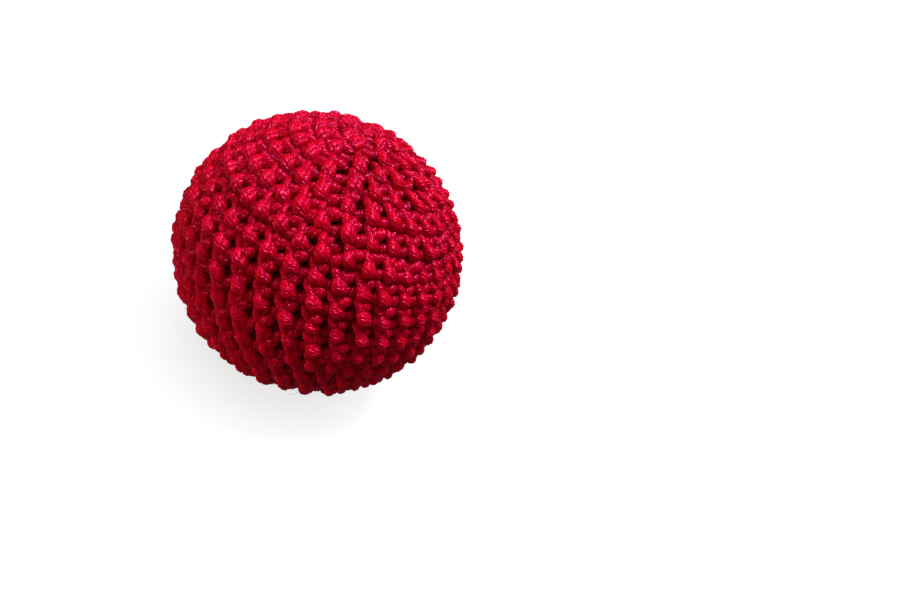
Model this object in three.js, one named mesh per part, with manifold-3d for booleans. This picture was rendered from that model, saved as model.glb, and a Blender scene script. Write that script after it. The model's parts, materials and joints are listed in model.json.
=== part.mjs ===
// A crocheted juggling ball standing on a flat surface at z = 0. Millimetres, +Z up.
// A yarn cover worked in one spiral from the start ring underneath up to the closing drawstring
// at the top, round a layer of wadding, round a tied cloth pouch of pellets.
import * as THREE from "three";
import { mergeVertices } from "three/addons/utils/BufferGeometryUtils.js";
import Module from "manifold-3d";

const wasm = await Module();
wasm.setup();

// Driving dimensions
const BALL_RADIUS = 32; // over the crowns of the stitches
const FOOT_RADIUS = 12; // flat that the loose filling settles into
const COVER_THICKNESS = 4.4; // a single-crochet fabric is about two yarns thick
const YARN_RADIUS = 1.05;
const WADDING_THICKNESS = 4;
const POUCH_WALL = 0.6;
const NECK_RADIUS = 3.2; // gathered neck of the pouch
const TIE_RADIUS = 0.5;
const GAP = 0.3; // between neighbouring pieces

// Derived sizes
const CENTRE_HEIGHT = Math.sqrt(BALL_RADIUS ** 2 - FOOT_RADIUS ** 2);
const COVER_INNER = BALL_RADIUS - COVER_THICKNESS;
const WADDING_OUTER = COVER_INNER - GAP;
const WADDING_INNER = WADDING_OUTER - WADDING_THICKNESS;
const POUCH_OUTER = WADDING_INNER - GAP;
const POUCH_INNER = POUCH_OUTER - POUCH_WALL;
const FILL_RADIUS = POUCH_INNER - GAP;
const WADDING_FLOOR = COVER_THICKNESS + GAP;
const POUCH_FLOOR = WADDING_FLOOR + WADDING_THICKNESS + GAP;
const FILL_FLOOR = POUCH_FLOOR + POUCH_WALL + GAP;
const START_RING_RADIUS = 1.7; // middle of the yarn
const CLOSING_RING_RADIUS = 2;
const START_HOLE = START_RING_RADIUS + YARN_RADIUS + GAP;
const CLOSING_HOLE = CLOSING_RING_RADIUS + YARN_RADIUS + GAP;
const START_RECESS = 0.8; // how far the start ring sits above the floor
const TAIL_RADIUS = 1; // yarn pressed between the cover and the wadding
const TAIL_DEPTH = COVER_INNER - GAP - TAIL_RADIUS;

// The gathered neck stands above the pouch, in a well through the upper wadding.
const NECK_LENGTH = 3;
const NECK_BASE = CENTRE_HEIGHT + Math.sqrt(POUCH_OUTER ** 2 - NECK_RADIUS ** 2);
const NECK_TOP = NECK_BASE + NECK_LENGTH;
const TIE_HEIGHT = NECK_BASE + 1.4;
const KNOT_RADIUS = 0.9;
const NECK_WELL = NECK_RADIUS + 2 * TIE_RADIUS + 2 * KNOT_RADIUS + GAP;

const ROUND_SEGMENTS = 40;
const ARC_SEGMENTS = 6; // doubled by Path.getPoints
const YARN_SIDES = 8;
const RING_SEGMENTS = 24;
const TAIL_STEPS = 12;

const yarn = new THREE.MeshStandardMaterial({ color: 0xb40a2c, roughness: 0.45, metalness: 0 });
const fibre = new THREE.MeshStandardMaterial({ color: 0xece7de, roughness: 0.95, metalness: 0 });
const cloth = new THREE.MeshStandardMaterial({ color: 0x8c1024, roughness: 0.85, metalness: 0 });
const cord = new THREE.MeshStandardMaterial({ color: 0xd9d2c4, roughness: 0.8, metalness: 0 });
const pellet = new THREE.MeshStandardMaterial({ color: 0xe4e0d6, roughness: 0.4, metalness: 0 });

// A lathe turns round +Y, so everything hangs in a group that lays its +Y along the part's +Z.
const upright = new THREE.Group();
upright.rotation.x = Math.PI / 2;

function add(name, geometry, material) {
  const mesh = new THREE.Mesh(geometry, material);
  mesh.name = name;
  upright.add(mesh);
  return mesh;
}

// Angle, at the ball's centre, of the point where a sphere of this radius passes a height.
function angleAtHeight(radius, height) {
  return Math.asin((height - CENTRE_HEIGHT) / radius);
}

// The same angle where the sphere passes a distance from the vertical axis, on the upper half.
function angleAtReach(radius, reach) {
  return Math.acos(reach / radius);
}

function lathe(outline) {
  return new THREE.LatheGeometry(outline.getPoints(ARC_SEGMENTS), ROUND_SEGMENTS);
}

// Goes straight to a sphere's outline and follows it from one angle to another.
function followSphere(outline, radius, from, to) {
  const x = radius * Math.cos(from);
  const y = CENTRE_HEIGHT + radius * Math.sin(from);
  outline.lineTo(x, y);
  outline.absarc(0, CENTRE_HEIGHT, radius, from, to, to < from);
}

// A shell between two spheres, flattened at the bottom, with a round hole at each pole.
function coverOutline() {
  const outline = new THREE.Path();
  outline.moveTo(START_HOLE, 0);
  followSphere(outline, BALL_RADIUS, angleAtHeight(BALL_RADIUS, 0), 0);
  followSphere(outline, BALL_RADIUS, 0, angleAtReach(BALL_RADIUS, CLOSING_HOLE));
  const innerEdge = angleAtHeight(COVER_INNER, COVER_THICKNESS);
  followSphere(outline, COVER_INNER, angleAtReach(COVER_INNER, CLOSING_HOLE), innerEdge);
  outline.lineTo(START_HOLE, COVER_THICKNESS);
  outline.closePath();
  return outline;
}

// A cup: the part of a flattened shell below the ball's middle, closed at the bottom.
function lowerWadOutline() {
  const rim = CENTRE_HEIGHT - GAP / 2;
  const innerFloor = WADDING_FLOOR + WADDING_THICKNESS;
  const outline = new THREE.Path();
  outline.moveTo(0, WADDING_FLOOR);
  const edge = angleAtHeight(WADDING_OUTER, WADDING_FLOOR);
  followSphere(outline, WADDING_OUTER, edge, angleAtHeight(WADDING_OUTER, rim));
  const innerEdge = angleAtHeight(WADDING_INNER, innerFloor);
  followSphere(outline, WADDING_INNER, angleAtHeight(WADDING_INNER, rim), innerEdge);
  outline.lineTo(0, innerFloor);
  return outline;
}

// A cap: the part of a shell above the ball's middle, with a well for the pouch's neck.
function upperWadOutline() {
  const rim = CENTRE_HEIGHT + GAP / 2;
  const outline = new THREE.Path();
  outline.moveTo(Math.sqrt(WADDING_INNER ** 2 - (GAP / 2) ** 2), rim);
  const well = angleAtReach(WADDING_OUTER, NECK_WELL);
  followSphere(outline, WADDING_OUTER, angleAtHeight(WADDING_OUTER, rim), well);
  const innerWell = angleAtReach(WADDING_INNER, NECK_WELL);
  followSphere(outline, WADDING_INNER, innerWell, angleAtHeight(WADDING_INNER, rim));
  outline.closePath();
  return outline;
}

// The pouch: a flattened round bag of thin cloth, open at the end of its gathered neck.
function pouchOutline() {
  const bore = NECK_RADIUS - POUCH_WALL;
  const innerFloor = POUCH_FLOOR + POUCH_WALL;
  const outline = new THREE.Path();
  outline.moveTo(0, POUCH_FLOOR);
  const shoulder = angleAtReach(POUCH_OUTER, NECK_RADIUS);
  followSphere(outline, POUCH_OUTER, angleAtHeight(POUCH_OUTER, POUCH_FLOOR), shoulder);
  outline.lineTo(NECK_RADIUS, NECK_TOP);
  outline.lineTo(bore, NECK_TOP);
  const innerEdge = angleAtHeight(POUCH_INNER, innerFloor);
  followSphere(outline, POUCH_INNER, angleAtReach(POUCH_INNER, bore), innerEdge);
  outline.lineTo(0, innerFloor);
  return outline;
}

function fillOutline() {
  const outline = new THREE.Path();
  outline.moveTo(0, FILL_FLOOR);
  followSphere(outline, FILL_RADIUS, angleAtHeight(FILL_RADIUS, FILL_FLOOR), Math.PI / 2);
  return outline;
}

// A yarn tail along a curve, with flat ends.
function tail(points, radius) {
  const section = new THREE.Shape().absarc(0, 0, radius, 0, 2 * Math.PI);
  return new THREE.ExtrudeGeometry(section, {
    curveSegments: YARN_SIDES / 2,
    steps: TAIL_STEPS,
    bevelEnabled: false,
    extrudePath: new THREE.CatmullRomCurve3(points),
  });
}

// Points along the inside of the cover, from one angle below the top to another, turning as it goes.
function tailRoute(fromPolar, toPolar, fromTurn, toTurn) {
  const points = [];
  const count = 6;
  for (let i = 0; i < count; i += 1) {
    const t = i / (count - 1);
    const polar = THREE.MathUtils.lerp(fromPolar, toPolar, t);
    const turn = THREE.MathUtils.lerp(fromTurn, toTurn, t);
    const point = new THREE.Vector3().setFromSphericalCoords(TAIL_DEPTH, polar, turn);
    point.y += CENTRE_HEIGHT;
    points.push(point);
  }
  return points;
}

function ring(ringRadius, tubeRadius, height, sides) {
  const geometry = new THREE.TorusGeometry(ringRadius, tubeRadius, sides, RING_SEGMENTS);
  geometry.rotateX(Math.PI / 2);
  geometry.translate(0, height, 0);
  return geometry;
}

function toSolid(geometry) {
  const bare = geometry.clone();
  bare.deleteAttribute("normal");
  bare.deleteAttribute("uv");
  const merged = mergeVertices(bare, 1e-4);
  const mesh = new wasm.Mesh({
    numProp: 3,
    vertProperties: merged.attributes.position.array,
    triVerts: new Uint32Array(merged.index.array),
  });
  return new wasm.Manifold(mesh);
}

function toGeometry(solid) {
  const mesh = solid.getMesh();
  const geometry = new THREE.BufferGeometry();
  geometry.setAttribute("position", new THREE.BufferAttribute(mesh.vertProperties, 3));
  geometry.setIndex(new THREE.BufferAttribute(mesh.triVerts, 1));
  geometry.computeVertexNormals();
  return geometry;
}

const degrees = THREE.MathUtils.degToRad;

// Both yarn ends are drawn inside and lie in the wadding, against the cover.
const closingTailRoute = tailRoute(degrees(24), degrees(78), degrees(-20), degrees(15));
const startTailRoute = tailRoute(degrees(146), degrees(102), degrees(150), degrees(190));

// Cover and its yarn ends
add("crochet_cover", lathe(coverOutline()), yarn);

const startRingHeight = START_RECESS + YARN_RADIUS;
add("start_ring", ring(START_RING_RADIUS, YARN_RADIUS, startRingHeight, YARN_SIDES), yarn);

const closingHeight = CENTRE_HEIGHT + BALL_RADIUS - YARN_RADIUS - GAP;
add(
  "closing_drawstring",
  ring(CLOSING_RING_RADIUS, YARN_RADIUS, closingHeight, YARN_SIDES),
  yarn,
);
add("start_tail", tail(startTailRoute, TAIL_RADIUS), yarn);
add("closing_tail", tail(closingTailRoute, TAIL_RADIUS), yarn);

// Wadding, in two wads that meet round the ball's middle, each pressed hollow by a yarn tail
const lowerWad = toSolid(lathe(lowerWadOutline()));
const upperWad = toSolid(lathe(upperWadOutline()));
const startTailGroove = toSolid(tail(startTailRoute, TAIL_RADIUS + GAP));
const closingTailGroove = toSolid(tail(closingTailRoute, TAIL_RADIUS + GAP));
add("wadding_lower", toGeometry(lowerWad.subtract(startTailGroove)), fibre);
add("wadding_upper", toGeometry(upperWad.subtract(closingTailGroove)), fibre);

// Pouch of pellets
add("liner_pouch", lathe(pouchOutline()), cloth);
add("pellet_fill", lathe(fillOutline()), pellet);

const tieRadius = NECK_RADIUS + TIE_RADIUS + GAP;
const tieLoop = toSolid(ring(tieRadius, TIE_RADIUS, TIE_HEIGHT, YARN_SIDES));
const knotBall = new THREE.SphereGeometry(KNOT_RADIUS, 12, 8);
knotBall.translate(tieRadius + KNOT_RADIUS - TIE_RADIUS, TIE_HEIGHT, 0);
add("pouch_tie", toGeometry(tieLoop.add(toSolid(knotBall))), cord);

const ball = new THREE.Group();
ball.add(upright);

export default ball;
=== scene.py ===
import json
import math
import random

import bmesh
import bpy
import numpy as np
from mathutils import Matrix, Quaternion, Vector

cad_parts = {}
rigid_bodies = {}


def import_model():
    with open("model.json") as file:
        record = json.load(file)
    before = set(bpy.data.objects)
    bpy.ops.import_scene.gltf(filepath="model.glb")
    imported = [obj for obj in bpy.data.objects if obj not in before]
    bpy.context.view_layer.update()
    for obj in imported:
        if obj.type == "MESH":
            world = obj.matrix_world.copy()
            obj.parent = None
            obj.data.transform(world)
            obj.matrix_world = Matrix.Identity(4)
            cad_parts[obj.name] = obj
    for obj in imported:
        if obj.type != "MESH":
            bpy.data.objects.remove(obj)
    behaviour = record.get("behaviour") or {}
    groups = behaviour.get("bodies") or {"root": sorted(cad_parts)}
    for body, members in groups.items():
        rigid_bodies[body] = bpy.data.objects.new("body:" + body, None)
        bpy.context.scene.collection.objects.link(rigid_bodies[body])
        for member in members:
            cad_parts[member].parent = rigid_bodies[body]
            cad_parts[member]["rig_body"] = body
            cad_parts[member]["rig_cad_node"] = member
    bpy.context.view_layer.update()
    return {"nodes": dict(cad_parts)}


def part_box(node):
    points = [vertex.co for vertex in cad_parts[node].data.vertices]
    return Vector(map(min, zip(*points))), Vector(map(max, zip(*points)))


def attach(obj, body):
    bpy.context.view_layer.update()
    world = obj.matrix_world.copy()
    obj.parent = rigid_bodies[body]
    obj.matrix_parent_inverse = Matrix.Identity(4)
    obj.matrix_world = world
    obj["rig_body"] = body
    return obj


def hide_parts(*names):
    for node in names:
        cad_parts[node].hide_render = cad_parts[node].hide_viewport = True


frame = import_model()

# Driving dimensions, in metres. The ball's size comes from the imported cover.
MM = 0.001
COVER_LOW, COVER_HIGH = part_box("crochet_cover")
BALL_RADIUS = (COVER_HIGH.x - COVER_LOW.x) / 2
FOOT_RADIUS = 12 * MM
CENTRE = Vector((0, 0, math.sqrt(BALL_RADIUS**2 - FOOT_RADIUS**2)))
STITCH = 4.7 * MM  # width of a stitch and height of a round
LUMP_RADIUS = 1.16 * MM  # of the yarn where a stitch stands out most
LUMP_RISE = 0.08  # how far the yarn's middle stands out there, in stitches
TAIL_DEPTH = BALL_RADIUS - 5.7 * MM  # from the ball's centre to the middle of a yarn end
TAIL_RADIUS = 0.9 * MM
FABRIC_DEPTH = LUMP_RADIUS + LUMP_RISE * STITCH
FABRIC_RADIUS = BALL_RADIUS - FABRIC_DEPTH  # of the surface that the stitches are laid on
HOLE_RADIUS = 2.3 * MM  # where the first round starts and the last one ends
MERIDIAN_POINTS = 900
CORNER_SPREAD = 25  # points on each side that the edge of the foot is rounded over

FIRST_ROUND = 6  # stitches worked into the start ring
LEAN = 0.28  # how far each round steps back, in stitches
FOLLOW = 0.25  # how strongly a stitch is pulled into line with the one below
EVEN_OUT = 5  # stitches on each side that a change of lean is spread over
FULL_ROUND = 24  # stitches in the shortest round whose leans are fully spread
WIDEST_PLACES = (0.9, 0.35)  # heights in a stitch, in rounds, that set how many go round
START_TURN = math.radians(270)  # of the spiral about +Z

PLIES = 6
PLY_OUTLINE = (0.83, 0.95, 1.0, 0.95)  # from the groove between two plies to the next
TWIST_LENGTH = 4.1 * MM
THREADS_PER_PLY = 2
THREAD_TWIST = 0.9 * MM
RING_STEP = 0.36 * MM
JITTER = 0.035  # of a stitch's place, in stitches
WIDTH_JITTER = 0.04  # of a stitch's yarn radius, as a share of it
FLOOR_GAP = 0.02 * MM
COVER_SEED = 11
LOOSE_RISE = -0.05  # given to yarn outside the stitches, which sets how much painted shade darkens it

HAIRS = 55
HAIR_RADIUS = 0.02 * MM
HAIR_ROOT_DEPTH = 0.9 * MM
HAIR_LENGTHS = (1.5, 4.5)  # in mm
HAIR_LIFTS = (0.6, 1.5)  # in mm
LOWEST_HAIR = 6 * MM
HAIR_SEED = 21

WAD_VOXEL = 0.9 * MM
WAD_LUMP, WAD_LUMP_DEPTH = 7 * MM, 0.45 * MM
WAD_TUFT, WAD_TUFT_DEPTH = 2.2 * MM, 0.25 * MM
POUCH_WALL = 0.6 * MM
POUCH_SIDES = 136
PLEATS = 17
PLEAT_DEPTH = 0.06  # as a share of the reach, on each side of its middle
PLEAT_FADE = 8 * MM  # reach beyond the neck at which the pleats have gone
CORD_RADIUS = 0.5 * MM
CORD_TWIST = 2.2 * MM
GRAIN_RADIUS = 1.45 * MM
PELLET_SEED = 5

# One stitch, seen from outside, in stitches: across, up, outward, and the yarn's radius in mm.
SECOND_LEG = (
    (0.62, 1.00, -0.28, 0.78),
    (0.58, 0.89, -0.12, 0.86),
    (0.54, 0.78, -0.07, 0.82),
    (0.51, 0.66, -0.09, 0.76),
    (0.55, 0.52, -0.03, 0.92),
    (0.62, 0.38, 0.01, 1.06),
    (0.67, 0.24, 0.00, 1.06),
    (0.71, 0.11, -0.12, 0.90),
    (0.75, 0.02, -0.28, 0.80),
)
INSIDE = (
    (0.84, -0.04, -0.39, 0.95),
    (1.00, 0.08, -0.45, 1.05),
    (0.90, 0.28, -0.45, 1.08),
    (0.50, 0.34, -0.45, 1.05),
    (0.24, 0.62, -0.44, 1.05),
    (0.12, 0.92, -0.34, 0.92),
)
FIRST_LEG = (
    (0.18, 1.02, -0.18, 0.78),
    (0.25, 0.89, -0.05, 0.88),
    (0.32, 0.77, 0.00, 0.86),
    (0.38, 0.65, -0.01, 0.78),
    (0.41, 0.52, 0.04, 0.96),
    (0.44, 0.37, 0.08, 1.16),
    (0.50, 0.23, 0.06, 1.14),
    (0.57, 0.11, -0.09, 0.96),
    (0.65, 0.01, -0.29, 0.80),
)
BAR = (
    (0.82, 0.00, -0.33, 0.90),
    (0.95, 0.12, -0.22, 1.12),
    (1.08, 0.25, -0.13, 1.28),
    (1.30, 0.42, -0.19, 1.18),
    (1.55, 0.60, -0.15, 1.22),
    (1.76, 0.74, -0.10, 1.28),
    (1.92, 0.88, -0.19, 1.06),
    (1.84, 1.02, -0.34, 0.86),
)


# The surface that the stitches are laid on

def meridian():
    """Points (reach from the axis, height), evenly spaced from the start hole to the closing hole."""
    foot_height = FABRIC_DEPTH
    edge = math.acos((CENTRE.z - foot_height) / FABRIC_RADIUS)
    close = math.pi - math.asin(HOLE_RADIUS / FABRIC_RADIUS)
    corner = FABRIC_RADIUS * math.sin(edge)
    points = [(reach, foot_height) for reach in np.linspace(HOLE_RADIUS, corner, 60)]
    for polar in np.linspace(edge, close, 600)[1:]:
        points.append((FABRIC_RADIUS * math.sin(polar), CENTRE.z - FABRIC_RADIUS * math.cos(polar)))
    points = np.array(points)
    along = path_lengths(points)
    even = np.linspace(0, along[-1], MERIDIAN_POINTS)
    line = np.stack([np.interp(even, along, points[:, k]) for k in (0, 1)], axis=1)
    padded = np.pad(line, ((CORNER_SPREAD, CORNER_SPREAD), (0, 0)), mode="edge")
    kernel = np.ones(2 * CORNER_SPREAD + 1) / (2 * CORNER_SPREAD + 1)
    soft = np.stack([np.convolve(padded[:, k], kernel, "valid") for k in (0, 1)], axis=1)
    soft[:, 1] = np.maximum(soft[:, 1], foot_height)
    return line * 0.5 + soft * 0.5, along[-1]


def path_lengths(points):
    """Distance along the path at each of its points."""
    steps = np.linalg.norm(np.diff(points, axis=0), axis=1)
    return np.concatenate([[0], np.cumsum(steps)])


MERIDIAN, MERIDIAN_LENGTH = meridian()
ROUNDS = round(MERIDIAN_LENGTH / STITCH - 0.5)
ROW_SPAN = ROUNDS + 0.5  # a spiral rises by one more round while it is worked


def reach_at(row):
    """Distance from the axis at a height counted in rounds."""
    place = np.clip(row / ROW_SPAN, 0, 1) * (len(MERIDIAN) - 1)
    return np.interp(place, np.arange(len(MERIDIAN)), MERIDIAN[:, 0])


def on_surface(turn, row, out):
    """Points at an angle about +Z, a height in rounds and a distance outward in metres."""
    place = row / ROW_SPAN * (len(MERIDIAN) - 1)
    index = np.arange(len(MERIDIAN))
    reach = np.interp(place, index, MERIDIAN[:, 0])
    height = np.interp(place, index, MERIDIAN[:, 1])
    slope = np.gradient(MERIDIAN, axis=0)
    along_reach = np.interp(place, index, slope[:, 0])
    along_height = np.interp(place, index, slope[:, 1])
    size = np.hypot(along_reach, along_height)
    along_reach, along_height = along_reach / size, along_height / size
    beyond = (np.maximum(row - ROW_SPAN, 0) + np.minimum(row, 0)) * STITCH
    reach = reach + beyond * along_reach + out * along_height
    height = height + beyond * along_height - out * along_reach
    angle = turn + START_TURN
    return np.stack([reach * np.cos(angle), reach * np.sin(angle), height], axis=-1)


# Where each stitch sits

def stitch_plan():
    """For each stitch of the spiral: the angles of its top and its foot, and its pitch.

    Angles keep growing, so a whole turn is a round. Where the rounds widen, two stitches share one
    below, and where they narrow, one is passed over. The neighbours take up the difference.
    """
    tops = [(k + 0.5) * 2 * math.pi / FIRST_ROUND for k in range(FIRST_ROUND)]
    leans = [0.0] * FIRST_ROUND
    pitches = [2 * math.pi / FIRST_ROUND] * FIRST_ROUND
    below = -1
    while tops[-1] < 2 * math.pi * ROUNDS:
        row = tops[-1] / (2 * math.pi)
        pitch = STITCH / max(reach_at(row + place) for place in WIDEST_PLACES)
        wished = tops[-1] + pitch
        lag = (tops[below + 1] + 2 * math.pi - LEAN * pitch - wished) / pitch
        if lag > 0.5 and below >= 0:
            lag -= 1
        elif lag < -0.5 and below + 2 < len(tops):
            below += 2
            lag += 1
        else:
            below += 1
        tops.append(wished + FOLLOW * lag * pitch)
        leans.append(LEAN + (1 - FOLLOW) * lag)
        pitches.append(pitch)
    tops, pitches = np.array(tops), np.array(pitches)
    kernel = np.hanning(2 * EVEN_OUT + 3)[1:-1]
    even = np.convolve(np.pad(leans, EVEN_OUT, mode="edge"), kernel / kernel.sum(), "valid")
    share = np.clip(2 * math.pi / pitches / FULL_ROUND, 0, 1)  # near the poles the rounds are short
    even = even * share + np.array(leans) * (1 - share)
    return tops, tops + even * pitches, pitches


def place_points(points, top, foot, pitch):
    """A stitch's points on the ball: its foot follows the stitch below, its top its own angle.

    The first round's stitches are all worked into the start ring, so their feet stretch back to it.
    """
    share = np.clip(points[:, 1], 0, 1)
    turn = foot * (1 - share) + top * share + (points[:, 0] - 0.5) * pitch
    row = turn / (2 * math.pi)
    if top < 2 * math.pi:
        row = row * share
    return on_surface(turn, row + points[:, 1], points[:, 2] * STITCH)


# Yarn as a mesh

def smooth_path(points, values, step):
    """A Catmull-Rom curve through the points, cut into even steps.

    Values holds a column for each thing that changes along the curve, such as its radius.
    """
    ends = np.vstack([2 * points[0] - points[1], points, 2 * points[-1] - points[-2]])
    share = np.linspace(0, 1, 8, endpoint=False)[:, None]
    a, b, c, d = ends[:-3], ends[1:-2], ends[2:-1], ends[3:]
    parts = []
    for p, q, r, s in zip(a, b, c, d):
        squared = (2 * p - 5 * q + 4 * r - s) * share**2
        cubed = (3 * q - p - 3 * r + s) * share**3
        parts.append(0.5 * (2 * q + (r - p) * share + squared + cubed))
    line = np.vstack(parts + [points[-1:]])
    place = np.linspace(0, len(values) - 1, len(line))
    along = path_lengths(line)
    count = max(4, round(along[-1] / step))
    even = np.linspace(0, along[-1], count + 1)
    line = np.stack([np.interp(even, along, line[:, k]) for k in range(3)], axis=1)
    place = np.interp(even, along, place)
    values = [np.interp(place, np.arange(len(values)), column) for column in np.transpose(values)]
    return line, values, even


def carried_frames(line):
    """Two directions square to the path at each of its points, carried along without turning."""
    tangents = np.gradient(line, axis=0)
    tangents /= np.linalg.norm(tangents, axis=1, keepdims=True)
    first = np.cross(tangents[0], (0.3, 0.5, 0.8))
    first /= np.linalg.norm(first)
    sides = [first]
    for tangent in tangents[1:]:
        side = sides[-1] - tangent * np.dot(sides[-1], tangent)
        sides.append(side / np.linalg.norm(side))
    sides = np.array(sides)
    return sides, np.cross(tangents, sides)


def yarn_rings(line, radii, along, plies=PLIES, twist_length=TWIST_LENGTH):
    """Rings of vertices round the path. The plies stand out as lobes that wind round it."""
    sides = plies * len(PLY_OUTLINE)
    first, second = carried_frames(line)
    angle = np.arange(sides) * 2 * math.pi / sides
    lobe = np.tile(PLY_OUTLINE, plies)
    turn = angle[None, :] - along[:, None] / twist_length * 2 * math.pi
    size = radii[:, None] * lobe[None, :]
    return (
        line[:, None, :]
        + first[:, None, :] * (np.cos(turn) * size)[..., None]
        + second[:, None, :] * (np.sin(turn) * size)[..., None]
    )


def tube_mesh(name, runs):
    """One mesh of tubes with closed ends. Each run is (rings, distance along, ply count, rise)."""
    verts, faces, corner_along, corner_round, rises = [], [], [], [], []
    offset = 0
    for rings, along, plies, rise in runs:
        rows, sides = rings.shape[:2]
        verts.append(rings.reshape(-1, 3))
        index = offset + np.arange(rows * sides).reshape(rows, sides)
        ahead = np.roll(index, -1, axis=1)
        ply = np.arange(sides) / sides * plies
        ply_ahead = ply + plies / sides
        for row in range(rows - 1):
            near, far = (index[row], ahead[row]), (ahead[row + 1], index[row + 1])
            faces.extend(np.stack([*near, *far], axis=1).tolist())
            corner_round.append(np.stack([ply, ply_ahead, ply_ahead, ply], axis=1).ravel())
            step = along[row + 1] - along[row]
            corner_along.append(np.tile(along[row] + np.array([0, 0, step, step]), sides))
        for cap, end in ((index[0][::-1], along[0]), (index[-1], along[-1])):
            faces.append(cap.tolist())
            corner_round.append(np.zeros(sides))
            corner_along.append(np.full(sides, end))
        rises.append(np.repeat(rise, sides))
        offset += rows * sides
    mesh = bpy.data.meshes.new(name)
    mesh.from_pydata(np.vstack(verts).tolist(), [], faces)
    for label, values in (("yarn_along", corner_along), ("yarn_round", corner_round)):
        layer = mesh.attributes.new(label, "FLOAT", "CORNER")
        layer.data.foreach_set("value", np.concatenate(values).astype(np.float32))
    layer = mesh.attributes.new("yarn_rise", "FLOAT", "POINT")
    layer.data.foreach_set("value", np.concatenate(rises).astype(np.float32))
    mesh.polygons.foreach_set("use_smooth", [True] * len(mesh.polygons))
    mesh.update()
    piece = bpy.data.objects.new(name, mesh)
    bpy.context.scene.collection.objects.link(piece)
    return piece


# Materials

def new_material(name):
    material = bpy.data.materials.new(name)
    material.use_nodes = True
    return material, material.node_tree, material.node_tree.nodes["Principled BSDF"]


def math_node(tree, operation, *values):
    """A Math node. Each input is a number or another node's output."""
    node = tree.nodes.new("ShaderNodeMath")
    node.operation = operation
    for socket, value in zip(node.inputs, values):
        if isinstance(value, (int, float)):
            socket.default_value = value
        else:
            tree.links.new(value, socket)
    return node.outputs[0]


def satin_yarn():
    """Mercerised cotton: deep red, each ply made of fine twisted threads with a pink glint."""
    material, tree, shader = new_material("satin_yarn")
    nodes, links = tree.nodes, tree.links
    along = nodes.new("ShaderNodeAttribute")
    along.attribute_name = "yarn_along"
    around = nodes.new("ShaderNodeAttribute")
    around.attribute_name = "yarn_round"
    across = math_node(tree, "MULTIPLY", around.outputs["Fac"], THREADS_PER_PLY * 2 * math.pi)
    forward = math_node(tree, "MULTIPLY", along.outputs["Fac"], 2 * math.pi / THREAD_TWIST)
    wave = math_node(tree, "SINE", math_node(tree, "ADD", across, forward))
    thread = math_node(tree, "POWER", math_node(tree, "MULTIPLY_ADD", wave, 0.5, 0.5), 0.7)
    spots = nodes.new("ShaderNodeTexCoord")
    fibres = nodes.new("ShaderNodeTexNoise")
    fibres.inputs["Scale"].default_value = 3500
    fibres.inputs["Detail"].default_value = 2
    links.new(spots.outputs["Object"], fibres.inputs["Vector"])
    height = math_node(tree, "MULTIPLY_ADD", fibres.outputs["Fac"], 0.5, thread)
    patches = nodes.new("ShaderNodeTexNoise")
    patches.inputs["Scale"].default_value = 700
    patches.inputs["Detail"].default_value = 3
    links.new(spots.outputs["Object"], patches.inputs["Vector"])
    # Painted shade: the base colour is lighter on the crests of the fine threads and darker in the grooves
    # between them. The patches add random tone.
    painted_thread_shade = math_node(tree, "MULTIPLY", thread, 0.35)
    tone_and_thread_shade = math_node(tree, "ADD", painted_thread_shade, math_node(tree, "MULTIPLY", patches.outputs["Fac"], 0.8))
    tone = nodes.new("ShaderNodeValToRGB")
    tone.color_ramp.elements[0].position = 0.2
    tone.color_ramp.elements[0].color = (0.27, 0.0, 0.004, 1)
    tone.color_ramp.elements[1].position = 0.85
    tone.color_ramp.elements[1].color = (0.70, 0.0, 0.026, 1)
    links.new(tone_and_thread_shade, tone.inputs["Fac"])
    # Painted shade: the base colour is darkened, down to 0.32 of itself, where the yarn lies deep in a
    # stitch, and kept full where it stands out.
    rise = nodes.new("ShaderNodeAttribute")
    rise.attribute_name = "yarn_rise"
    sunk = nodes.new("ShaderNodeMapRange")
    sunk.inputs["From Min"].default_value = -0.26
    sunk.inputs["From Max"].default_value = 0.05
    sunk.inputs["To Min"].default_value = 0.32
    links.new(rise.outputs["Fac"], sunk.inputs["Value"])
    base_with_painted_shade = nodes.new("ShaderNodeVectorMath")
    base_with_painted_shade.operation = "SCALE"
    links.new(tone.outputs["Color"], base_with_painted_shade.inputs[0])
    links.new(sunk.outputs["Result"], base_with_painted_shade.inputs["Scale"])
    links.new(base_with_painted_shade.outputs["Vector"], shader.inputs["Base Color"])
    bump = nodes.new("ShaderNodeBump")
    bump.inputs["Strength"].default_value = 0.8
    bump.inputs["Distance"].default_value = 0.00009
    links.new(height, bump.inputs["Height"])
    links.new(bump.outputs["Normal"], shader.inputs["Normal"])
    shader.inputs["Subsurface Weight"].default_value = 0.35
    shader.inputs["Subsurface Radius"].default_value = (1.0, 0.05, 0.1)
    shader.inputs["Subsurface Scale"].default_value = 0.0012
    shader.inputs["Roughness"].default_value = 0.25
    shader.inputs["Specular IOR Level"].default_value = 0.95
    shader.inputs["Specular Tint"].default_value = (1, 0.07, 0.36, 1)
    return material


def plain_material(name, low, high, scale, roughness, bump_depth):
    """A matt surface whose colour and height vary with a fine noise."""
    material, tree, shader = new_material(name)
    nodes, links = tree.nodes, tree.links
    spots = nodes.new("ShaderNodeTexCoord")
    noise = nodes.new("ShaderNodeTexNoise")
    noise.inputs["Scale"].default_value = scale
    noise.inputs["Detail"].default_value = 5
    links.new(spots.outputs["Object"], noise.inputs["Vector"])
    tone = nodes.new("ShaderNodeValToRGB")
    tone.color_ramp.elements[0].color = (*low, 1)
    tone.color_ramp.elements[1].color = (*high, 1)
    links.new(noise.outputs["Fac"], tone.inputs["Fac"])
    links.new(tone.outputs["Color"], shader.inputs["Base Color"])
    bump = nodes.new("ShaderNodeBump")
    bump.inputs["Distance"].default_value = bump_depth
    links.new(noise.outputs["Fac"], bump.inputs["Height"])
    links.new(bump.outputs["Normal"], shader.inputs["Normal"])
    shader.inputs["Roughness"].default_value = roughness
    return material


# Pieces

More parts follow.
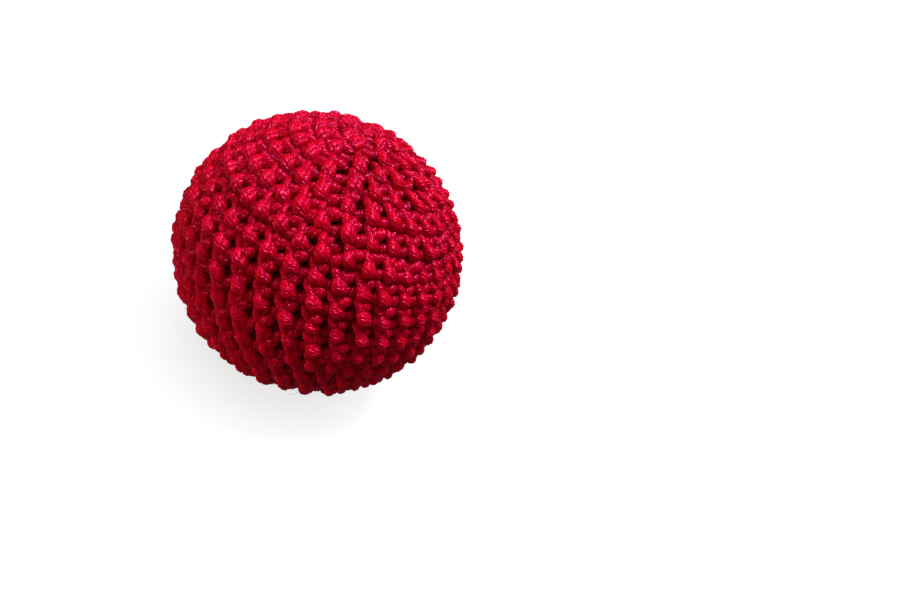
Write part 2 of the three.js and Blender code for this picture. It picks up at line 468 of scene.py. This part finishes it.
def cover(material):
    """The spiral of stitches, one piece for each round."""
    rng = random.Random(COVER_SEED)
    stitch = np.array(SECOND_LEG + INSIDE + FIRST_LEG + BAR)
    points, values, rounds = [], [], []
    for top, foot, pitch in zip(*stitch_plan()):
        shaped = stitch.copy()
        shaped[:, :3] += np.array([[rng.gauss(0, JITTER) for _ in range(3)]])
        shaped[:, :3] += np.array([[rng.gauss(0, JITTER / 3) for _ in range(3)] for _ in shaped])
        shaped[:, 3] *= 1 + rng.gauss(0, WIDTH_JITTER)
        points.append(place_points(shaped, top, foot, pitch))
        values.append(np.stack([shaped[:, 3] * MM, shaped[:, 2]], axis=1))
        rounds.append(int(top / (2 * math.pi)))
    rounds = np.array(rounds)
    pieces = []
    travelled = 0.0
    for row in range(rounds[-1] + 1):
        chosen = np.nonzero(rounds == row)[0]
        row_points = np.vstack([points[k] for k in chosen])
        row_values = np.vstack([values[k] for k in chosen])
        line, (widths, rise), along = smooth_path(row_points, row_values, RING_STEP)
        line[:, 2] = np.maximum(line[:, 2], widths + FLOOR_GAP)
        rings = yarn_rings(line, widths, along + travelled)
        piece = tube_mesh(f"cover_round_{row + 1:02d}", [(rings, along + travelled, PLIES, rise)])
        travelled += along[-1]
        piece.data.materials.append(material)
        pieces.append(piece)
    return pieces


def yarn_piece(name, points, radii, material, plies=PLIES, twist_length=TWIST_LENGTH):
    """A length of yarn along a list of points, as one piece."""
    values = np.stack([radii, np.full(len(radii), LOOSE_RISE)], axis=1)
    line, (widths, rise), along = smooth_path(np.array(points), values, RING_STEP)
    rings = yarn_rings(line, widths, along, plies, twist_length)
    piece = tube_mesh(name, [(rings, along, plies, rise)])
    piece.data.materials.append(material)
    return piece


def gathered_end(name, node, upward, material):
    """The loop at a pole: a turn and a half of yarn that winds in and goes down the middle."""
    low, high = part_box(node)
    reach = (high.x - low.x) / 2
    tube = (high.z - low.z) / 2
    middle = (high.z + low.z) / 2
    inward = -1 if upward else 1
    ring_share, winding_share = 0.55, 0.45
    ripple, winding_depth, end_depth = 0.25 * MM, 2.4 * MM, 4.2 * MM
    points = []
    for step in np.linspace(0, 1, 26):
        turn = 3 * math.pi * step
        wound_in = max(0, step - ring_share) / winding_share
        radius = (reach - tube) * (1 - 0.85 * wound_in)
        sunk = ripple * math.sin(5 * turn) + winding_depth * wound_in**2
        points.append((radius * math.cos(turn), radius * math.sin(turn), middle + inward * sunk))
    points.append((0, 0, middle + inward * end_depth))
    return yarn_piece(name, points, np.full(len(points), tube * 0.92), material)


def yarn_tail(name, polar_ends, turn_ends, material):
    """A yarn end that lies between the cover and the wadding, along its CAD tube's route.

    The angles of its two ends are in degrees: polar from the top, turn from the front.
    """
    points = []
    for part in np.linspace(0, 1, 9):
        polar = math.radians(polar_ends[0] + (polar_ends[1] - polar_ends[0]) * part)
        turn = math.radians(turn_ends[0] + (turn_ends[1] - turn_ends[0]) * part)
        across = math.sin(polar)
        out = Vector((across * math.sin(turn), -across * math.cos(turn), math.cos(polar)))
        points.append(CENTRE + out * TAIL_DEPTH)
    return yarn_piece(name, points, np.full(len(points), TAIL_RADIUS), material)


def stray_fibres(material):
    """Fine hairs that have worked loose from the yarn and curl just above the stitches."""
    rng = np.random.default_rng(HAIR_SEED)
    runs = []
    for _ in range(HAIRS):
        out = rng.normal(size=3)
        out /= np.linalg.norm(out)
        root = np.array(CENTRE) + out * (BALL_RADIUS - HAIR_ROOT_DEPTH)
        if root[2] < LOWEST_HAIR:
            continue
        side = np.cross(out, rng.normal(size=3))
        side /= np.linalg.norm(side)
        bend = np.cross(out, side) * rng.uniform(-1, 1)
        length = rng.uniform(*HAIR_LENGTHS) * MM
        share = np.linspace(0, 1, 9)[:, None]
        lift = np.sin(share * math.pi * rng.uniform(0.7, 1.0)) * rng.uniform(*HAIR_LIFTS) * MM
        points = root + side * share * length + bend * share**2 * length * 0.8 + out * lift
        line, (widths,), along = smooth_path(points, np.full((9, 1), HAIR_RADIUS), 0.25 * MM)
        rings = yarn_rings(line, widths, along, 1)
        runs.append((rings, along, 1, np.zeros(len(along))))
    piece = tube_mesh("stray_fibres", runs)
    piece.data.materials.append(material)
    return piece


def wobble(points, scale, seed):
    """Smooth noise between -1 and 1 at each point: a few waves in random directions."""
    waves_added = 7
    rng = np.random.default_rng(seed)
    total = np.zeros(len(points))
    for _ in range(waves_added):
        direction = rng.normal(size=3)
        direction /= np.linalg.norm(direction)
        waves = 2 * math.pi / scale * rng.uniform(0.6, 1.6)
        total += np.sin(points @ direction * waves + rng.uniform(0, 6.3))
    return total / waves_added


def fibre_wad(name, node, material, seed):
    """A wad of fibre: the CAD wad made lumpy, with tufts that stay inside it."""
    source = frame["nodes"][node]
    wad = source.copy()
    wad.data = source.data.copy()
    wad.parent = None
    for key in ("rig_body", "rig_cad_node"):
        del wad[key]
    wad.name = name
    wad.data.name = name
    bpy.context.scene.collection.objects.link(wad)
    remesh = wad.modifiers.new("even", "REMESH")
    remesh.mode = "VOXEL"
    remesh.voxel_size = WAD_VOXEL
    graph = bpy.context.evaluated_depsgraph_get()
    even = bpy.data.meshes.new_from_object(wad.evaluated_get(graph))
    wad.modifiers.clear()
    wad.data = even
    count = len(even.vertices)
    places = np.zeros(count * 3)
    normals = np.zeros(count * 3)
    even.vertices.foreach_get("co", places)
    even.vertices.foreach_get("normal", normals)
    places, normals = places.reshape(-1, 3), normals.reshape(-1, 3)
    lumps = WAD_LUMP_DEPTH * (wobble(places, WAD_LUMP, seed) - 1)
    tufts = WAD_TUFT_DEPTH * (wobble(places, WAD_TUFT, seed + 1) - 1)
    dent = lumps + tufts
    even.vertices.foreach_set("co", (places + normals * dent[:, None]).ravel())
    even.polygons.foreach_set("use_smooth", [True] * len(even.polygons))
    even.materials.clear()
    even.materials.append(material)
    even.update()
    return wad


def revolved(name, outline, sides, pleat, material):
    """A closed surface of revolution, whose outline's first and last points are on the axis.

    Pleat gives, for a point of the outline and an angle, what its reach is multiplied by.
    """
    verts = [(0, 0, outline[0][1])]
    turns = np.arange(sides) * 2 * math.pi / sides
    for k, (reach, height) in enumerate(outline[1:-1]):
        for turn in turns:
            wide = reach * pleat(k, turn)
            verts.append((wide * math.cos(turn), wide * math.sin(turn), height))
    verts.append((0, 0, outline[-1][1]))
    last = len(verts) - 1
    rows = len(outline) - 2
    faces = [(0, 1 + (j + 1) % sides, 1 + j) for j in range(sides)]
    for k in range(rows - 1):
        here, there = 1 + k * sides, 1 + (k + 1) * sides
        for j in range(sides):
            ahead = (j + 1) % sides
            faces.append((here + j, here + ahead, there + ahead, there + j))
    top = 1 + (rows - 1) * sides
    faces.extend((top + j, top + (j + 1) % sides, last) for j in range(sides))
    mesh = bpy.data.meshes.new(name)
    mesh.from_pydata(verts, [], faces)
    mesh.polygons.foreach_set("use_smooth", [True] * len(mesh.polygons))
    mesh.materials.append(material)
    piece = bpy.data.objects.new(name, mesh)
    bpy.context.scene.collection.objects.link(piece)
    return piece


def pouch(material):
    """The cloth pouch: a flattened round bag gathered into a pleated neck under its tie."""
    low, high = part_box("liner_pouch")
    radius = (high.x - low.x) / 2
    tie_low, tie_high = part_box("pouch_tie")
    neck = (tie_high.y - tie_low.y) / 2 - (tie_high.z - tie_low.z) * 0.75
    tie_height = (tie_low.z + tie_high.z) / 2
    outline = [(0, low.z)]
    edge = math.acos((CENTRE.z - low.z) / radius)
    outline += [(radius * math.sin(edge) * part, low.z) for part in (0.35, 0.7, 0.95)]
    shoulder = math.pi - math.asin(neck / radius)
    for polar in np.linspace(edge + 0.05, shoulder, 34):
        outline.append((radius * math.sin(polar), CENTRE.z - radius * math.cos(polar)))
    outline += [(neck * 0.95, tie_height - 0.6 * MM), (neck * 0.82, tie_height)]
    outline += [(neck * 0.95, tie_height + 0.7 * MM)]
    outline += [(neck * 1.0, high.z), (neck - POUCH_WALL, high.z), (neck * 0.6, tie_height)]
    inner = radius - POUCH_WALL
    for polar in np.linspace(math.pi - math.asin(neck * 0.7 / inner), edge + 0.06, 30):
        outline.append((inner * math.sin(polar), CENTRE.z - inner * math.cos(polar)))
    inner_floor = low.z + POUCH_WALL
    outline += [(inner * math.sin(edge) * 0.6, inner_floor), (0, inner_floor)]

    def pleat(k, turn):
        reach, height = outline[k + 1]
        near_neck = max(0, 1 - (reach - neck) / PLEAT_FADE) if height > CENTRE.z else 0
        fold = 1 + math.sin(PLEATS * turn + 0.6 * math.sin(3 * turn))
        return 1 - PLEAT_DEPTH * near_neck * fold

    return revolved("liner_pouch_cloth", outline, POUCH_SIDES, pleat, material)


def tie(material):
    """The cord round the pouch's neck: two turns and a knot with two short ends."""
    low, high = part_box("pouch_tie")
    height = (low.z + high.z) / 2
    reach = (high.y - low.y) / 2 - CORD_RADIUS
    knot = Vector((high.x - 0.9 * MM, 0, height))
    first_end = Vector((0.2 * MM, 1.6 * MM, -0.9 * MM))
    points = [knot + first_end, knot + Vector((0.3 * MM, 0.5 * MM, -0.3 * MM))]
    for turn in np.linspace(0.12, 4 * math.pi - 0.12, 40):
        rise = (turn / (4 * math.pi) - 0.5) * 1.0 * MM
        points.append(Vector((reach * math.cos(turn), reach * math.sin(turn), height + rise)))
    for angle in np.linspace(0, 1.6 * math.pi, 9):
        curl = Vector((0.1 * MM, math.sin(angle) * 0.55 * MM, -math.cos(angle) * 0.5 * MM))
        points.append(knot + curl)
    second_end = Vector((0.2 * MM, -1.5 * MM, 0.9 * MM))
    points.append(knot + second_end)
    radii = np.full(len(points), CORD_RADIUS)
    return yarn_piece("pouch_tie_cord", points, radii, material, plies=3, twist_length=CORD_TWIST)


def pellets(material):
    """The loose plastic pellets: rounded grains packed through the pouch's inside."""
    rng = np.random.default_rng(PELLET_SEED)
    low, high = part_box("pellet_fill")
    radius = (high.x - low.x) / 2
    spacing = 2.12 * GRAIN_RADIUS
    half = int(radius / spacing * 1.5) + 2
    clearance = GRAIN_RADIUS * 1.05
    places = []
    for layer in range(-half, half):
        for across in range(-half, half):
            for along in range(-half, half):
                x = (across + 0.5 * (along % 2) + 0.5 * (layer % 2)) * spacing
                y = (along + (layer % 2) / 3) * spacing * math.sqrt(3) / 2
                z = layer * spacing * math.sqrt(2 / 3)
                place = np.array([x, y, z]) + rng.normal(0, 0.03 * GRAIN_RADIUS, 3)
                inside = np.linalg.norm(place) < radius - clearance
                if inside and place[2] + CENTRE.z > low.z + clearance:
                    places.append(place)
    ball = bpy.data.meshes.new("grain")
    form = bmesh.new()
    bmesh.ops.create_icosphere(form, subdivisions=1, radius=1)
    form.to_mesh(ball)
    form.free()
    shape = np.array([v.co for v in ball.vertices])
    sides = np.array([list(f.vertices) for f in ball.polygons])
    bpy.data.meshes.remove(ball)
    verts, faces = [], []
    for k, place in enumerate(places):
        shares = [rng.uniform(0.86, 1), rng.uniform(0.86, 1), rng.uniform(0.8, 0.98)]
        size = GRAIN_RADIUS * np.array(shares)
        axis = Vector(rng.normal(size=3)).normalized()
        turn = np.array(Quaternion(axis, rng.uniform(0, 3)).to_matrix())
        verts.append((shape * size) @ turn.T + place + np.array(CENTRE))
        faces.append(sides + k * len(shape))
    mesh = bpy.data.meshes.new("pellet_grains")
    mesh.from_pydata(np.vstack(verts).tolist(), [], np.vstack(faces).tolist())
    mesh.polygons.foreach_set("use_smooth", [True] * len(mesh.polygons))
    mesh.materials.append(material)
    piece = bpy.data.objects.new("pellet_grains", mesh)
    bpy.context.scene.collection.objects.link(piece)
    return piece


def light(name, direction, size, distance, power, colour):
    """A square lamp that faces the ball.

    The direction is from the ball's centre to the lamp, size and distance are in metres, and
    power is in watts.
    """
    data = bpy.data.lights.new(name, "AREA")
    data.energy = power
    data.size = size
    data.color = colour
    lamp = bpy.data.objects.new(name, data)
    bpy.context.scene.collection.objects.link(lamp)
    direction = Vector(direction).normalized()
    lamp.location = CENTRE + direction * distance
    lamp.rotation_mode = "QUATERNION"
    lamp.rotation_quaternion = direction.to_track_quat("Z", "Y")


# Camera: above the ball, close to it, rolled, with the ball left of the picture's middle.
ELEVATION = math.radians(30.7)
ROLL = math.radians(27.7)
DISTANCE = 4 * BALL_RADIUS
LENS = 21.5
SENSOR = 36
AIM_ACROSS = -0.231  # the ball's place in the picture, as tangents from the picture's middle
AIM_UP = 0.083

FLOOR_REACH = 3.0
# Reaches from the point under the ball over which the floor's painted shadow fades out.
FLOOR_PAINTED_SHADOW_FULL, FLOOR_PAINTED_SHADOW_GONE = 0.35 * BALL_RADIUS, 1.25 * BALL_RADIUS


def camera():
    """Places the camera. Returns its right, up and back directions, which the lamps are placed by."""
    data = bpy.data.cameras.new("camera")
    data.lens = LENS
    data.sensor_width = SENSOR
    data.clip_start = 0.005
    data.clip_end = 20
    eye = bpy.data.objects.new("camera", data)
    bpy.context.scene.collection.objects.link(eye)
    back = Vector((0, -math.cos(ELEVATION), math.sin(ELEVATION)))
    level = Vector((1, 0, 0))
    rise = back.cross(level)
    right = level * math.cos(ROLL) + rise * math.sin(ROLL)
    up = rise * math.cos(ROLL) - level * math.sin(ROLL)
    facing = Matrix((right, up, back)).transposed()
    to_ball = Vector((-AIM_ACROSS, -AIM_UP, 1)).normalized()
    swing = to_ball.rotation_difference(Vector((0, 0, 1))).to_matrix()
    eye.rotation_mode = "QUATERNION"
    eye.rotation_quaternion = (facing @ swing).to_quaternion()
    eye.location = CENTRE + back * DISTANCE
    bpy.context.scene.camera = eye
    return right, up, back


def floor():
    """A pale sheet that glows, more so away from the ball, so that it looks white to its edge. Its dimmer
    glow near the ball is a painted shadow.
    """
    mesh = bpy.data.meshes.new("floor")
    corners = [(x * FLOOR_REACH, y * FLOOR_REACH, 0) for x, y in ((-1, -1), (1, -1), (1, 1), (-1, 1))]
    mesh.from_pydata(corners, [], [(0, 1, 2, 3)])
    ground = bpy.data.objects.new("floor", mesh)
    bpy.context.scene.collection.objects.link(ground)
    material, tree, shader = new_material("pale_floor")
    shader.inputs["Base Color"].default_value = (0.11, 0.11, 0.11, 1)
    shader.inputs["Roughness"].default_value = 0.9
    shader.inputs["Specular IOR Level"].default_value = 0
    shader.inputs["Emission Color"].default_value = (1, 1, 1, 1)
    spots = tree.nodes.new("ShaderNodeTexCoord")
    reach = tree.nodes.new("ShaderNodeVectorMath")
    reach.operation = "LENGTH"
    # Painted shadow: the glow falls from 1.02 far away to 0.76 near the ball.
    glow = tree.nodes.new("ShaderNodeMapRange")
    glow.interpolation_type = "SMOOTHSTEP"
    glow.inputs["From Min"].default_value = FLOOR_PAINTED_SHADOW_FULL
    glow.inputs["From Max"].default_value = FLOOR_PAINTED_SHADOW_GONE
    glow.inputs["To Min"].default_value = 0.76
    glow.inputs["To Max"].default_value = 1.02
    tree.links.new(spots.outputs["Object"], reach.inputs[0])
    tree.links.new(reach.outputs["Value"], glow.inputs["Value"])
    tree.links.new(glow.outputs["Result"], shader.inputs["Emission Strength"])
    ground.data.materials.append(material)
    ground.visible_diffuse = False
    ground.visible_glossy = False


def surroundings():
    """A white backdrop for the camera, and a dim red glow that lights the ball from all round."""
    world = bpy.data.worlds.new("studio")
    bpy.context.scene.world = world
    world.use_nodes = True
    nodes, links = world.node_tree.nodes, world.node_tree.links
    glow = nodes["Background"]
    glow.inputs["Color"].default_value = (1, 0.22, 0.32, 1)
    glow.inputs["Strength"].default_value = 0.23
    backdrop = nodes.new("ShaderNodeBackground")
    backdrop.inputs["Color"].default_value = (1, 1, 1, 1)
    backdrop.inputs["Strength"].default_value = 1.2
    path = nodes.new("ShaderNodeLightPath")
    either = nodes.new("ShaderNodeMixShader")
    links.new(path.outputs["Is Camera Ray"], either.inputs["Fac"])
    links.new(glow.outputs["Background"], either.inputs[1])
    links.new(backdrop.outputs["Background"], either.inputs[2])
    links.new(either.outputs["Shader"], nodes["World Output"].inputs["Surface"])


def stands_for(piece, node):
    """Puts a piece on the ball's one body, in place of a CAD node."""
    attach(piece, "root")
    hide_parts(node)


right, up, back = camera()
yarn = satin_yarn()
for piece in cover(yarn):
    stands_for(piece, "crochet_cover")

hair = plain_material("loose_fibre", (0.4, 0.005, 0.02), (0.7, 0.04, 0.08), 900, 0.5, 0.01 * MM)
fibre = plain_material("fibre", (0.55, 0.5, 0.44), (0.83, 0.8, 0.74), 1500, 0.95, 0.3 * MM)
cloth = plain_material("pouch_cloth", (0.16, 0.003, 0.01), (0.3, 0.008, 0.02), 2500, 0.85, 0.1 * MM)
cotton = plain_material("tie_cotton", (0.55, 0.5, 0.42), (0.75, 0.7, 0.6), 2500, 0.8, 0.05 * MM)
plastic = plain_material("pellet_plastic", (0.7, 0.67, 0.6), (0.8, 0.77, 0.7), 400, 0.4, 0.02 * MM)

stands_for(stray_fibres(hair), "crochet_cover")
stands_for(gathered_end("closing_loop", "closing_drawstring", True, yarn), "closing_drawstring")
stands_for(gathered_end("start_loop", "start_ring", False, yarn), "start_ring")
stands_for(yarn_tail("closing_yarn_end", (24, 78), (-20, 15), yarn), "closing_tail")
stands_for(yarn_tail("start_yarn_end", (146, 102), (150, 190), yarn), "start_tail")
for name, node, seed in (("fibre_wad_upper", "wadding_upper", 3), ("fibre_wad_lower", "wadding_lower", 8)):
    wad = fibre_wad(name, node, fibre, seed)
    stands_for(wad, node)
bag = pouch(cloth)
stands_for(bag, "liner_pouch")
stands_for(tie(cotton), "pouch_tie")
stands_for(pellets(plastic), "pellet_fill")

floor()
surroundings()
light("key", right * 0.6 + up * 0.75 + back * 0.5, 0.12, 0.45, 2.8, (1, 0.66, 0.92))
light("fill", right * -0.3 + up * 0.3 + back * 0.9, 0.3, 0.5, 0.35, (1, 0.5, 0.5))
light("kicker", right * -0.85 + up * 0.3 + back * 0.45, 0.05, 0.45, 0.75, (1, 0.6, 0.45))
bpy.context.scene.view_settings.view_transform = "Standard"
